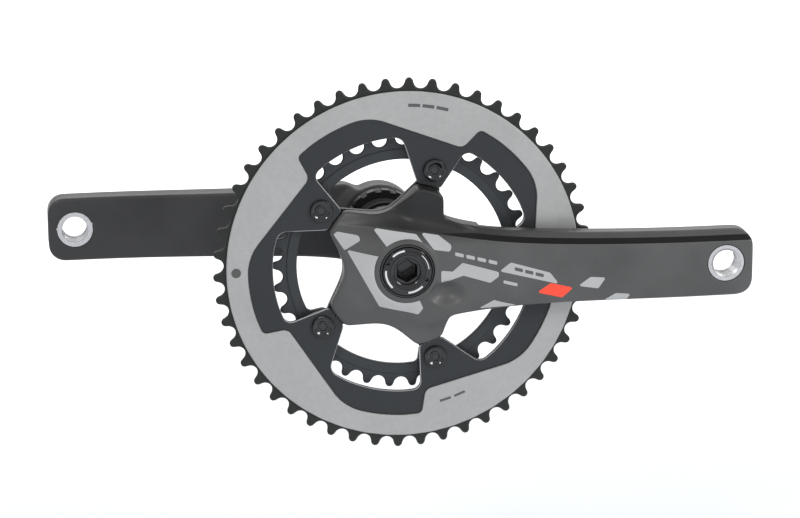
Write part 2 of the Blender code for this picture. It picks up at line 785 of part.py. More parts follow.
def main():
    for old in list(bpy.data.objects):
        bpy.data.objects.remove(old)

    carbon = material("satin_carbon", (0.105, 0.105, 0.11), 0.42)
    ring_alloy = material("anodised_rings", (0.30, 0.31, 0.31), 0.38, 0.7)
    inner_alloy = material("black_ring_alloy", (0.05, 0.053, 0.055), 0.35, 0.7)
    steel = material("bright_steel", (0.62, 0.61, 0.60), 0.25, 1.0)
    bolt_black = material("gloss_black", (0.012, 0.012, 0.013), 0.2, 0.3)
    insert_alloy = material("turned_alloy", (0.75, 0.75, 0.76), 0.28, 1.0)
    cup_alloy = material("black_cup_alloy", (0.03, 0.03, 0.032), 0.35, 0.6)
    nylon = material("black_nylon", (0.02, 0.02, 0.02), 0.55)

    frame_side = empty("bottom_bracket_frame")
    crank = empty("crank_axis")

    bottom_bracket(steel, cup_alloy, nylon, frame_side)
    ball_set("right_ball_set", drive_place, steel, empty("right_ball_axis"))
    ball_set("left_ball_set", left_place, steel, empty("left_ball_axis"))

    drive_arm(carbon, crank)
    left_arm(carbon, crank)
    drive_hub_insert(cup_alloy, crank)
    left_hub_insert(cup_alloy, crank)
    pedal_insert("right_pedal_insert", drive_place, insert_alloy, crank)
    pedal_insert("left_pedal_insert", left_place, insert_alloy, crank)
    spindle(steel, crank)
    crank_bolt(bolt_black, crank)
    bolt_washer(steel, crank)
    extractor_cap(bolt_black, crank)
    left_dust_cap(nylon, crank)
    for side, place in (("right", drive_place), ("left", left_place)):
        bore = SPINDLE_RADIUS + GAP
        tube(f"{side}_inner_race", bore, bore + 1.45, RACE_BACK, RACE_FRONT, steel, crank, place)
        tube(f"{side}_spacer_washer", bore, bore + 3.2, 45.6, 46.1, steel, crank, place)

    cut_pin_holes(outer_chainring(ring_alloy, crank))
    inner_chainring(inner_alloy, crank)
    chainring_fasteners(bolt_black, crank)
    ring_pins(steel, bolt_black, crank)


main()
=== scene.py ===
"""Looks of the bicycle crankset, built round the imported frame.

Lengths are millimetres until a mesh is made, and a depth w is a distance outboard from the
bicycle's middle. The drive side is -Y, its arm points along +X, and +Z is up.
"""

import math

import bmesh
import bpy
import numpy as np
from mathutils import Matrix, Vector, geometry


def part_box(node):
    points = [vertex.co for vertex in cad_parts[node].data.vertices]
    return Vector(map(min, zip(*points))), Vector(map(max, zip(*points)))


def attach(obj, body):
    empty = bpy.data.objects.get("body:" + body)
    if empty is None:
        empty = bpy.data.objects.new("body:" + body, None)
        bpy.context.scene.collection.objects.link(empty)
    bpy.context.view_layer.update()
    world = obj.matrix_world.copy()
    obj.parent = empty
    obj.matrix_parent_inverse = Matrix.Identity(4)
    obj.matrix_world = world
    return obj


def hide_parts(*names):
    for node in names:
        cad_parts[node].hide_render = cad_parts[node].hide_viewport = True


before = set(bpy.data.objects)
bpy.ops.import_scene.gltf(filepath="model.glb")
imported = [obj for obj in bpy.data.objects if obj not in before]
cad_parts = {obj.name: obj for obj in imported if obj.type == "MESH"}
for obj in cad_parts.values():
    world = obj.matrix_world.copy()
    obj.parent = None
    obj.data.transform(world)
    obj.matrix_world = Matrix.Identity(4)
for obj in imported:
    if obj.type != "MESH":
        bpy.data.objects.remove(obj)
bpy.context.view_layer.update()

MM = 0.001
CRANK = "crank"
FIXED = "bottom_bracket"

# The camera: the direction it looks in, its distance, and the width it takes in, in metres.
VIEW_AZIMUTH = -8.3
VIEW_ELEVATION = 15.2
VIEW_ROLL = 0.4
VIEW_DISTANCE = 1.64
VIEW_WIDTH = 0.44
VIEW_TARGET = Vector((0.002, -0.02, -0.004))
FLOOR_HEIGHT = -0.27

# Arms. A face is an outer surface, and a back is an inner one.
CRANK_LENGTH = 172.5
ARM_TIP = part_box("drive_arm")[1].x / MM
ARM_FACE = -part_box("drive_arm")[0].y / MM
ARM_HALF_WIDTH = 18.2
ARM_THICKNESS = 13.4
ARM_BACK_MIN = 50.9
TIP_CORNER = 9.0
LEFT_FLARE = 0.45
CREASE_START = -3.0
CREASE_DROP = 6.5
BAND_HEIGHT = 2.7
FRONT_ROUNDING = 1.5
BACK_ROUNDING = 1.8
HOLE_ROUNDING = 0.35

# Hub, with the crank bolt and the cap in it.
HUB_FACE = 60.0
HUB_BACK = 46.5
HUB_BORE = 14.9
COLLAR_FACE = 60.7
COLLAR_RADIUS = 16.9
COLLAR_FLANK = 0.8
INSERT_RADIUS = 14.6
INSERT_MOUTH = 13.7
CAP_RADIUS = 13.4
CAP_FACE = 61.4
CAP_BACK = 56.6
CAP_PIN_CIRCLE = 11.6
CAP_MARKS = [(97.0, 132.0, 0.5), (175.0, 226.0, 0.5), (272.0, 314.0, 0.5), (5.0, 48.0, 0.22)]
PEDAL_INSERT_RADIUS = 10.0

# Spider. Its legs stand 72 degrees apart, and the first is behind the arm.
LEGS = [72.0 * leg for leg in range(5)]
LEG_END = 45.5
HALF_WINDOW = 29.3
WINDOW_END = 48.0
TAB_BACK = 41.9
TAB_FRONT = 44.9
SPIDER_EYE = 24.0
BOLT_CIRCLE = 55.0
BOLT_HOLE = 5.0

# Chainrings, with a tooth's points as (share of the pitch, height over the pitch circle).
RING_BACK = -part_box("outer_chainring")[1].y / MM
RING_FACE = -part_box("outer_chainring")[0].y / MM
RING_POCKET = 47.8
TOOTH_FACE = RING_BACK + 2.2
INNER_RING_BACK = -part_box("inner_chainring")[1].y / MM
INNER_RING_FACE = -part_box("inner_chainring")[0].y / MM
CHAIN_PITCH = 12.7
ROLLER_SEAT = 4.0
TOOTH_POINTS = [(-0.155, 0.9), (-0.085, 1.9), (0.0, 2.15), (0.085, 1.9), (0.155, 0.9)]
OUTER_TEETH = 50
INNER_TEETH = 34
OUTER_TOOTH_PHASE = 1.5
INNER_TOOTH_PHASE = -0.8
RAISED_RIM = 96.2
POCKET_RIM = 84.6
OUTER_TAB = 46.0
OUTER_WINDOW = 71.0
INNER_TAB = 48.3
INNER_WINDOW = 57.5
INNER_STEP = 63.0

# Bottom bracket cups. Their shoulders rest on the ends of a 68 mm shell.
CUP_SHOULDER = 34.0
CUP_THREAD = 17.4
CUP_BODY = 20.7
CUP_FLANGE = 22.0
CUP_FLANGE_FACE = 39.3

# Meshes: degrees to a fillet's step, and the spacing of points on a shell's edge and grid.
FILLET_STEP = 8.0
OUTLINE_STEP = 0.6
GRID_STEP = 1.7

# Materials: the arms' grey, and the carbon weave's and turning lines' radians to a metre.
FACE_GREY = (0.070, 0.070, 0.070)
WEAVE_WAVES = 2600.0
TURNING_WAVES = 21000.0


# ---------------- small geometry helpers


def drive_place(x, w, z):
    return Vector((x, -w, z)) * MM


def left_place(x, w, z):
    return Vector((-x, w, -z)) * MM


SIDES = {"right": drive_place, "left": left_place}


def polar(radius, degrees):
    angle = math.radians(degrees)
    return radius * math.cos(angle), radius * math.sin(angle)


def arc(radius, start, end, steps, centre=(0.0, 0.0)):
    points = []
    for step in range(steps + 1):
        x, z = polar(radius, start + (end - start) * step / steps)
        points.append((centre[0] + x, centre[1] + z))
    return points


def circle(radius, steps, centre=(0.0, 0.0)):
    return arc(radius, 0.0, 360.0, steps, centre)[:-1]


def smooth_step(low, high, value):
    t = np.clip((value - low) / (high - low), 0.0, 1.0)
    return t * t * (3.0 - 2.0 * t)


def soft_positive(value, softness):
    """The value where it is positive, else nearly zero, with a rounded corner between."""
    return softness * np.logaddexp(0.0, value / softness)


def rounded(corners):
    """A closed loop through corners (x, z, fillet radius), with each fillet as an arc."""
    loop = []
    for index, (x, z, radius) in enumerate(corners):
        if radius == 0.0:
            loop.append((x, z))
            continue
        here = Vector((x, z))
        to_before = Vector(corners[index - 1][:2]) - here
        to_after = Vector(corners[(index + 1) % len(corners)][:2]) - here
        half = to_before.angle(to_after) / 2.0
        reach = min(radius / math.tan(half), 0.49 * to_before.length, 0.49 * to_after.length)
        inward = (to_before.normalized() + to_after.normalized()).normalized()
        centre = here + inward * reach / math.cos(half)
        start = here + to_before.normalized() * reach - centre
        end = here + to_after.normalized() * reach - centre
        sweep = math.pi - 2.0 * half
        steps = max(1, math.ceil(math.degrees(sweep) / FILLET_STEP))
        for step in range(steps + 1):
            turn = sweep * step / steps
            point = centre + (start * math.sin(sweep - turn) + end * math.sin(turn)) / math.sin(sweep)
            loop.append((point.x, point.y))
    return loop


def offset(loop, distance):
    """The loop moved outwards by a small distance. It runs anticlockwise."""
    points = np.array(loop)
    along = np.roll(points, -1, axis=0) - np.roll(points, 1, axis=0)
    outward = np.stack([along[:, 1], -along[:, 0]], axis=1)
    outward /= np.linalg.norm(outward, axis=1, keepdims=True)
    return [tuple(point) for point in points + distance * outward]


def resample(loop, spacing):
    """Points at an even spacing along a closed loop."""
    points = np.concatenate([loop, loop[:1]])
    lengths = np.linalg.norm(np.diff(points, axis=0), axis=1)
    along = np.concatenate([[0.0], np.cumsum(lengths)])
    count = int(along[-1] / spacing)
    wanted = np.arange(count) * along[-1] / count
    return np.stack([np.interp(wanted, along, points[:, axis]) for axis in (0, 1)], axis=1)


def relax(points, times):
    """The evenly spaced loop with its corners rounded."""
    for _ in range(times):
        points = 0.5 * points + 0.25 * (np.roll(points, 1, axis=0) + np.roll(points, -1, axis=0))
    return points


# ---------------- mesh makers


def new_object(name, data):
    made = bpy.data.objects.new(name, data)
    bpy.context.scene.collection.objects.link(made)
    return made


def add_piece(name, bm, surfaces, body, replaced=(), sharp_angle=35.0):
    """Make a piece of the model from a bmesh. It rides on a body, and may replace CAD nodes."""
    bmesh.ops.remove_doubles(bm, verts=bm.verts, dist=0.0005 * MM)
    bmesh.ops.recalc_face_normals(bm, faces=bm.faces)
    mesh = bpy.data.meshes.new(name)
    bm.to_mesh(mesh)
    bm.free()
    mesh.shade_smooth()
    mesh.set_sharp_from_angle(angle=math.radians(sharp_angle))
    for surface in surfaces:
        mesh.materials.append(surface)
    made = new_object(name, mesh)
    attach(made, body)
    if replaced:
        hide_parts(*replaced)


def wall(bm, low, high, slot):
    """Faces between two loops that have as many vertices each."""
    for index in range(len(low)):
        face = bm.faces.new((low[index - 1], low[index], high[index], high[index - 1]))
        face.material_index = slot


def cover(bm, rings, slot=0):
    """Fill the flat region between loops of vertices."""
    edges = []
    for ring in rings:
        for index in range(len(ring)):
            pair = (ring[index - 1], ring[index])
            edges.append(bm.edges.get(pair) or bm.edges.new(pair))
    filled = bmesh.ops.triangle_fill(bm, use_beauty=True, use_dissolve=False, edges=edges)
    for item in filled["geom"]:
        if isinstance(item, bmesh.types.BMFace):
            item.material_index = slot


def skin(bm, loop, rings, slots=(0,), place=drive_place):
    """Bands between offset copies of one loop. Each ring is (outward offset, depth)."""
    made = []
    for distance, w in rings:
        made.append([bm.verts.new(place(x, w, z)) for x, z in offset(loop, distance)])
    for index in range(len(made) - 1):
        wall(bm, made[index], made[index + 1], slots[index % len(slots)])
    return made[0], made[-1]


def plate(bm, place, outline, terraces, holes, floors):
    """A stepped plate. Features are (loop, rings, slots), and floors are the fronts' slots."""
    back_edge, front_edge = skin(bm, *outline, place)
    for number, terrace in enumerate(terraces):
        first, last = skin(bm, *terrace, place)
        cover(bm, [front_edge, first], floors[number])
        front_edge = last
    front_holes = []
    back_holes = []
    for hole in holes:
        first, last = skin(bm, *hole, place)
        front_holes.append(first)
        back_holes.append(last)
    cover(bm, [front_edge] + front_holes, floors[len(terraces)])
    cover(bm, [back_edge] + back_holes, floors[-1])


def turn_profile(bm, profile, place, steps=96, centre=(0.0, 0.0), slot=0):
    """Turn a profile of (radius, depth) points about an axis parallel to the spindle."""
    rings = []
    for step in range(steps):
        ring = []
        for radius, w in profile:
            x, z = polar(radius, 360.0 * step / steps)
            ring.append(bm.verts.new(place(centre[0] + x, w, centre[1] + z)))
        rings.append(ring)
    closed = profile[0][0] > 0.0
    for step in range(steps):
        here = rings[step - 1]
        after = rings[step]
        for index in range(0 if closed else 1, len(profile)):
            face = bm.faces.new((here[index - 1], here[index], after[index], after[index - 1]))
            face.material_index = slot


def turned_piece(name, profile, surface, node, place=drive_place, steps=96, centre=(0.0, 0.0)):
    bm = bmesh.new()
    turn_profile(bm, profile, place, steps, centre)
    add_piece(name, bm, [surface], CRANK, [node])


# ---------------- materials


def scaled(color, factor):
    return tuple(channel * factor for channel in color)


def fill(node, sockets):
    """Set the constant values of a node's sockets."""
    for name, value in sockets.items():
        node.inputs[name].default_value = value


class Shader:
    """A Principled material that is put together from nodes."""

    def __init__(self, name, roughness, metallic=0.0, coat=0.0, coat_roughness=0.1):
        self.material = bpy.data.materials.new(name)
        self.material.use_nodes = True
        self.tree = self.material.node_tree
        self.main = self.tree.nodes["Principled BSDF"]
        fill(self.main, {"Roughness": roughness, "Metallic": metallic})
        fill(self.main, {"Coat Weight": coat, "Coat Roughness": coat_roughness})
        self.place = self.node("ShaderNodeTexCoord").outputs["Object"]

    def node(self, kind, **settings):
        made = self.tree.nodes.new(kind)
        for key, value in settings.items():
            setattr(made, key, value)
        return made

    def link(self, source, target):
        self.tree.links.new(source, target)

    def math(self, operation, first, second=0.0):
        made = self.node("ShaderNodeMath", operation=operation)
        for socket, value in zip(made.inputs, (first, second)):
            if isinstance(value, (int, float)):
                socket.default_value = value
            else:
                self.link(value, socket)
        return made.outputs[0]

    def noise(self, scale, detail=3.0):
        made = self.node("ShaderNodeTexNoise")
        fill(made, {"Scale": scale, "Detail": detail})
        self.link(self.place, made.inputs["Vector"])
        return made.outputs["Fac"]

    def axis(self, letter):
        """One coordinate of a point on the surface, in metres."""
        split = self.node("ShaderNodeSeparateXYZ")
        self.link(self.place, split.inputs[0])
        return split.outputs[letter]

    def radius(self):
        """Distance from the spindle's axis, in metres."""
        x = self.axis("X")
        z = self.axis("Z")
        squares = self.math("ADD", self.math("MULTIPLY", x, x), self.math("MULTIPLY", z, z))
        return self.math("SQRT", squares)

    def ramp(self, factor, stops):
        made = self.node("ShaderNodeValToRGB")
        elements = made.color_ramp.elements
        while len(elements) < len(stops):
            elements.new(0.5)
        for element, (position, color) in zip(elements, stops):
            element.position = position
            element.color = (*color, 1.0)
        self.link(factor, made.inputs[0])
        return made.outputs[0]

    def color_from(self, factor, color, low, high):
        """The colour, uneven between a low and a high multiple of it."""
        stops = [(0.25, scaled(color, low)), (0.75, scaled(color, high))]
        self.link(self.ramp(factor, stops), self.main.inputs["Base Color"])

    def roughness_from(self, factor, below, above):
        """The roughness, uneven between an amount below and an amount above it."""
        roughness = self.main.inputs["Roughness"].default_value
        span = self.node("ShaderNodeMapRange")
        fill(span, {"To Min": roughness - below, "To Max": roughness + above})
        self.link(factor, span.inputs["Value"])
        self.link(span.outputs[0], self.main.inputs["Roughness"])

    def smooth_range(self, value, low, high, top=1.0):
        """A soft rise from 0 to the top value, between two values of a length."""
        made = self.node("ShaderNodeMapRange", interpolation_type="SMOOTHSTEP")
        fill(made, {"From Min": low, "From Max": high, "To Max": top})
        self.link(value, made.inputs["Value"])
        return made.outputs[0]

    def darken(self, amount):
        """Take a share of the base colour away, as painted shade. An amount of 1 leaves 12% of it."""
        base = self.main.inputs["Base Color"]
        made = self.node("ShaderNodeVectorMath", operation="SCALE")
        self.link(base.links[0].from_socket, made.inputs[0])
        self.link(self.math("SUBTRACT", 1.0, self.math("MULTIPLY", amount, 0.88)), made.inputs["Scale"])
        self.link(made.outputs[0], base)

    def bump_from(self, height, strength, distance):
        made = self.node("ShaderNodeBump")
        fill(made, {"Strength": strength, "Distance": distance})
        self.link(height, made.inputs["Height"])
        self.link(made.outputs[0], self.main.inputs["Normal"])


def carbon(name, color, sheen, coat):
    """Satin carbon: a fine diagonal weave under a thin lacquer, with a little cloudiness."""
    shader = Shader(name, 0.44, coat=coat, coat_roughness=0.25)
    fill(shader.main, {"Specular IOR Level": sheen})
    waves = []
    for operation in ("ADD", "SUBTRACT"):
        diagonal = shader.math(operation, shader.axis("X"), shader.axis("Z"))
        waves.append(shader.math("SINE", shader.math("MULTIPLY", diagonal, WEAVE_WAVES)))
    weave = shader.math("MULTIPLY", *waves)
    cloud = shader.noise(38.0, 4.0)
    mixed = shader.math("ADD", cloud, shader.math("MULTIPLY", weave, 0.1))
    shader.color_from(mixed, color, 0.82, 1.18)
    shader.roughness_from(shader.noise(210.0, 5.0), 0.06, 0.08)
    shader.bump_from(shader.noise(900.0, 2.0), 0.05, 0.0002)
    return shader


def face_carbon():
    """The arm's grey face, with painted shade that makes it darker towards the upper legs of the spider.
    """
    shader = carbon("face_carbon", FACE_GREY, 0.38, 0.08)
    rise = shader.smooth_range(shader.axis("Z"), 0.012, 0.025)
    along = shader.smooth_range(shader.axis("X"), -0.034, -0.004, 0.65)
    # Painted shade: the face is darkened above z = 12 to 25 mm, fully right of x = -4 mm.
    shader.darken(shader.math("MULTIPLY", rise, shader.math("ADD", along, 0.35)))
    return shader.material


def dark_carbon():
    """The arm's other sides: dark carbon with painted shade near the hub, so nearly black on the spider,
    and grey further along the arm.
    """
    shader = carbon("dark_carbon", (0.0446, 0.0446, 0.0457), 0.38, 0.08)
    painted_shade_near_hub = 0.919
    along = shader.smooth_range(shader.axis("X"), 0.030, 0.085, painted_shade_near_hub)
    # Painted shade: darkened near the hub, fading out between x = 30 and 85 mm.
    shader.darken(shader.math("SUBTRACT", painted_shade_near_hub, along))
    return shader.material


def anodised(name, color, roughness, metallic):
    """Anodised alloy with fine turning lines round the spindle's axis."""
    shader = Shader(name, roughness, metallic)
    lines = shader.math("SINE", shader.math("MULTIPLY", shader.radius(), TURNING_WAVES))
    grain = shader.noise(420.0, 5.0)
    cloud = shader.noise(24.0, 3.0)
    uneven = shader.math("MULTIPLY", shader.math("ADD", grain, cloud), 0.5)
    shader.color_from(uneven, color, 0.9, 1.1)
    shader.roughness_from(grain, 0.06, 0.08)
    shader.bump_from(shader.math("ADD", lines, shader.math("MULTIPLY", grain, 1.5)), 0.06, 0.00005)
    return shader.material


def metal(name, color, roughness, metallic=1.0):
    """Turned or ground metal with small scratches and uneven gloss."""
    shader = Shader(name, roughness, metallic)
    grain = shader.noise(700.0, 6.0)
    shader.color_from(grain, color, 0.85, 1.1)
    shader.roughness_from(shader.noise(160.0, 4.0), 0.05, 0.1)
    shader.bump_from(grain, 0.08, 0.00004)
    return shader.material


def gloss(name, color, roughness):
    """Glossy black oxide finish."""
    shader = Shader(name, roughness, 0.35, coat=0.6, coat_roughness=0.08)
    grain = shader.noise(500.0, 4.0)
    shader.color_from(grain, color, 0.7, 1.4)
    shader.roughness_from(shader.noise(120.0, 4.0), 0.04, 0.1)
    shader.bump_from(grain, 0.05, 0.00004)
    return shader.material


def paint(name, color, roughness):
    """Thin satin paint of the patches and the printed marks."""
    shader = Shader(name, roughness, coat=0.25, coat_roughness=0.2)
    shader.color_from(shader.noise(55.0, 4.0), color, 0.93, 1.06)
    shader.roughness_from(shader.noise(300.0, 4.0), 0.05, 0.07)
    shader.bump_from(shader.noise(900.0, 2.0), 0.04, 0.0001)
    return shader.material


def plastic(name, color, roughness):
    """Moulded nylon with a fine texture."""
    shader = Shader(name, roughness)
    grain = shader.noise(1300.0, 3.0)
    shader.color_from(shader.noise(60.0, 3.0), color, 0.8, 1.25)
    shader.roughness_from(grain, 0.05, 0.1)
    shader.bump_from(grain, 0.15, 0.00006)
    return shader.material


FACE_CARBON = face_carbon()
DARK_CARBON = dark_carbon()
# Painted shadow: the near-black band just above the crease on both arms.
PAINTED_CREASE_SHADOW = carbon("painted_crease_shadow", (0.003, 0.003, 0.003), 0.2, 0.0).material
LEFT_FACE_CARBON = carbon("left_face_carbon", FACE_GREY, 0.42, 0.1).material
LEFT_DARK_CARBON = carbon("left_dark_carbon", (0.040, 0.040, 0.041), 0.25, 0.05).material
RIM_ALLOY = anodised("rim_alloy", (0.39, 0.395, 0.388), 0.40, 0.55)
POCKET_ALLOY = anodised("pocket_alloy", (0.031, 0.034, 0.037), 0.42, 0.5)
TOOTH_ALLOY = anodised("tooth_alloy", (0.022, 0.023, 0.022), 0.40, 0.5)
EDGE_ALLOY = anodised("edge_alloy", (0.42, 0.42, 0.43), 0.28, 0.8)
INNER_ALLOY = anodised("inner_ring_alloy", (0.040, 0.044, 0.048), 0.40, 0.5)
STEEL = metal("bright_steel", (0.60, 0.59, 0.58), 0.24)
INSERT_ALLOY = metal("insert_alloy", (0.62, 0.62, 0.63), 0.30)
GREY_ALLOY = metal("grey_alloy", (0.10, 0.105, 0.10), 0.34, 0.6)
BLACK_GLOSS = gloss("black_gloss", (0.010, 0.010, 0.011), 0.17)
BLACK_MIRROR = gloss("black_mirror", (0.007, 0.007, 0.008), 0.10)
CUP_ALLOY = metal("cup_alloy", (0.022, 0.022, 0.024), 0.36, 0.6)
BOSS_ALLOY = metal("boss_alloy", (0.05, 0.05, 0.052), 0.34, 0.6)
NYLON = plastic("black_nylon", (0.018, 0.018, 0.019), 0.5)
GREY_PAINT = paint("grey_paint", (0.37, 0.373, 0.378), 0.42)
RED_PAINT = paint("red_paint", (0.86, 0.055, 0.022), 0.42)
MARK_LIGHT = paint("mark_light", (0.62, 0.62, 0.63), 0.45)
MARK_GREY = paint("mark_grey", (0.07, 0.07, 0.072), 0.45)


# ---------------- chainrings


def toothed_outline(teeth, phase):
    """Teeth with round roller seats at the half-inch pitch."""
    pitch_radius = CHAIN_PITCH / (2.0 * math.sin(math.pi / teeth))
    pitch = 360.0 / teeth
    loop = []
    for tooth in range(teeth):
        valley = phase + pitch * (tooth - 0.5)
        seat = polar(pitch_radius + 0.4, valley)
        loop += arc(ROLLER_SEAT, valley + 244.0, valley + 116.0, 9, seat)
        for share, height in TOOTH_POINTS:
            loop.append(polar(pitch_radius + height, phase + pitch * (tooth + share)))
    return loop


def sharp(points):
    """Points of a curve as corners without a fillet."""
    return [(x, z, 0.0) for x, z in points]


def outer_ring_inside():
    corners = []
    for leg in LEGS:
        corners.append((*polar(OUTER_TAB, leg - 7.8), 4.0))
        corners += sharp(arc(OUTER_TAB, leg - 2.0, leg + 2.0, 2))
        corners.append((*polar(OUTER_TAB, leg + 8.4), 5.0))
        corners.append((*polar(OUTER_WINDOW, leg + 18.5), 8.0))
        corners += sharp(arc(OUTER_WINDOW, leg + 26.0, leg + 54.0, 14))
        corners.append((*polar(OUTER_WINDOW, leg + 61.2), 8.0))
    return rounded(corners)


def inner_ring_inside():
    corners = []
    for leg in LEGS:
        corners.append((*polar(INNER_TAB, leg - 7.0), 4.0))
        corners.append((*polar(INNER_TAB, leg + 7.0), 4.0))
        corners.append((*polar(INNER_WINDOW, leg + 10.0), 3.0))
        corners += sharp(arc(INNER_WINDOW, leg + 16.0, leg + 56.0, 20))
        corners.append((*polar(INNER_WINDOW, leg + 62.0), 3.0))
    return rounded(corners)


def pocket_outline():
    """The swirled edge between the raised rim and the lower, dark part of the outer ring."""
    line_distance = 69.8
    blend_radius = 27.0
    blend_reach = POCKET_RIM - blend_radius
    blend_turn = math.degrees(math.acos((line_distance - blend_radius) / blend_reach))
    corners = []
    for leg in LEGS:
        normal = leg - 4.7
        blend_angle = normal + blend_turn
        corners.append((*polar(71.5, leg - 8.8), 5.0))
        blend = arc(blend_radius, normal, blend_angle, 14, polar(blend_reach, blend_angle))
        rim = arc(POCKET_RIM, blend_angle, leg + 55.0, 12)
        corners += sharp(blend + rim[1:])
        corners.append((*polar(POCKET_RIM, leg + 60.3), 3.0))
    return rounded(corners)


def chamfered_hole(loop, front, back, size, slots):
    """A hole for a plate, with the same chamfer on both sides."""
    return loop, [(size, front), (0.0, front - size), (0.0, back + size), (size, back)], slots


def bolt_holes(front, back, slot):
    holes = []
    for leg in LEGS:
        loop = circle(BOLT_HOLE, 40, polar(BOLT_CIRCLE, leg))
        holes.append(chamfered_hole(loop, front, back, 0.3, [slot]))
    return holes


def outer_chainring():
    """Slots: 0 rim, 1 pocket, 2 teeth, 3 bright chamfers."""
    bm = bmesh.new()
    back = RING_BACK
    teeth = toothed_outline(OUTER_TEETH, OUTER_TOOTH_PHASE)
    outline_rings = [(-0.45, back), (0.0, back + 0.5), (0.0, TOOTH_FACE - 0.6), (-0.8, TOOTH_FACE)]
    rim = circle(RAISED_RIM, 240)
    rim_rings = [(0.0, TOOTH_FACE), (0.0, RING_FACE - 0.45), (-0.45, RING_FACE)]
    pocket = pocket_outline()
    pocket_rings = [(0.35, RING_FACE), (0.0, RING_FACE - 0.35), (-0.15, RING_POCKET)]
    window = chamfered_hole(outer_ring_inside(), RING_POCKET, back, 0.45, [3, 1, 1])
    holes = [window] + bolt_holes(RING_POCKET, back, 1)
    outline = (teeth, outline_rings, [2])
    terraces = [(rim, rim_rings, [2, 0]), (pocket, pocket_rings, [0, 1])]
    plate(bm, drive_place, outline, terraces, holes, [2, 0, 1, 1])
    surfaces = [RIM_ALLOY, POCKET_ALLOY, TOOTH_ALLOY, EDGE_ALLOY]
    add_piece("outer_ring_fine", bm, surfaces, CRANK, ["outer_chainring"])


def inner_chainring():
    """Slots: 0 the ring, 1 the chamfer of its window."""
    bm = bmesh.new()
    back = INNER_RING_BACK
    face = INNER_RING_FACE
    tooth_face = back + 2.0
    teeth = toothed_outline(INNER_TEETH, INNER_TOOTH_PHASE)
    outline_rings = [(-0.6, back), (0.0, back + 0.5), (0.0, tooth_face - 0.5), (-0.6, tooth_face)]
    step_rings = [(0.0, tooth_face), (0.0, face - 0.3), (-0.3, face)]
    window = chamfered_hole(inner_ring_inside(), face, back, 0.35, [1, 0, 0])
    holes = [window] + bolt_holes(face, back, 0)
    outline = (teeth, outline_rings, [0])
    plate(bm, drive_place, outline, [(circle(INNER_STEP, 160), step_rings, [0])], holes, [0, 0, 0])
    surfaces = [INNER_ALLOY, POCKET_ALLOY]
    add_piece("inner_ring_fine", bm, surfaces, CRANK, ["inner_chainring"])


# ---------------- arms


def arm_top(x, flare=1.0):
    return ARM_HALF_WIDTH + flare * 9.8 * np.exp((20.0 - np.maximum(x, 12.0)) / 22.0)


def arm_bottom(x, flare=1.0):
    return -ARM_HALF_WIDTH - flare * 9.0 * np.exp((20.0 - np.maximum(x, 12.0)) / 42.0)


def bevel_line(x):
    """Height of the crease where the arm's flat face turns into its long top bevel."""
    return 12.4 + 14.0 / (1.0 + np.exp((x - 20.0) / 20.0))


def band_top(x):
    """Upper edge of the near-black band of painted shadow above the crease, which starts as a point near
    the hub.
    """
    return bevel_line(x) + BAND_HEIGHT * smooth_step(12.0, 40.0, x)


def arm_front(x):
    return HUB_FACE + (ARM_FACE - HUB_FACE) * smooth_step(0.0, 165.0, x)


def arm_back(x):
    return np.maximum(ARM_BACK_MIN, arm_front(x) - ARM_THICKNESS)


def window_shape(leg):
    """Depth and power of the window that follows a leg. The one above the arm is deeper."""
    if leg == 0.0:
        return 30.0, 2.6
    return 33.0, 2.1


def window_reach(leg):
    """How far a window's edge goes before it meets the round end of the raised legs."""
    depth, power = window_shape(leg)
    return ((LEG_END - depth) / (WINDOW_END - depth)) ** (1.0 / power)


def window_edge(leg, reach, steps=40):
    """Points along the window that follows a leg. A reach of 1 goes from tab to tab."""
    depth, power = window_shape(leg)
    points = []
    for step in range(steps + 1):
        across = reach * (2.0 * step / steps - 1.0)
        radius = depth + (WINDOW_END - depth) * abs(across) ** power
        points.append(polar(radius, leg + 36.0 + HALF_WINDOW * across))
    return points


def tip_points(flare, first_top, first_bottom):
    """The arm's edge from its lower side near the hub, round the tip, to its upper side."""
    straight = ARM_TIP - TIP_CORNER
    lower = [(x, arm_bottom(x, flare)) for x in np.arange(first_bottom, straight, 2.0)]
    upper = [(x, arm_top(x, flare)) for x in np.arange(first_top, straight, 2.0)]
    low_corner = arc(TIP_CORNER, -90.0, 0.0, 12, (straight, arm_bottom(straight, flare) + TIP_CORNER))
    high_corner = arc(TIP_CORNER, 0.0, 90.0, 12, (straight, arm_top(straight, flare) - TIP_CORNER))
    return lower + low_corner + high_corner + upper[::-1]


def drive_arm_outline():
    """Legs, windows and arm in one anticlockwise loop, with its corners rounded."""
    first, *others = LEGS
    last = others[-1]
    upper = window_edge(first, window_reach(first))
    upper = [(x, z) for x, z in upper if z > arm_top(x) + 0.5]
    lower = window_edge(last, window_reach(last))
    lower = [(x, z) for x, z in lower if z < arm_bottom(x) - 0.5]
    loop = tip_points(1.0, upper[0][0] + 2.0, lower[-1][0] + 2.0) + upper
    for leg in others:
        start = leg - 36.0 + HALF_WINDOW * window_reach(leg - 72.0)
        end = leg + 36.0 - HALF_WINDOW * window_reach(leg)
        loop += arc(LEG_END, start, end, 8)
        if leg != last:
            loop += window_edge(leg, window_reach(leg))
    return relax(resample(loop + lower, OUTLINE_STEP), 16)


def leg_face(radius):
    """Depth of the legs' outer surface, which falls away from the hub."""
    return HUB_FACE - 10.2 * np.clip((radius - 19.0) / (LEG_END - 19.0), 0.0, 1.0) ** 1.1


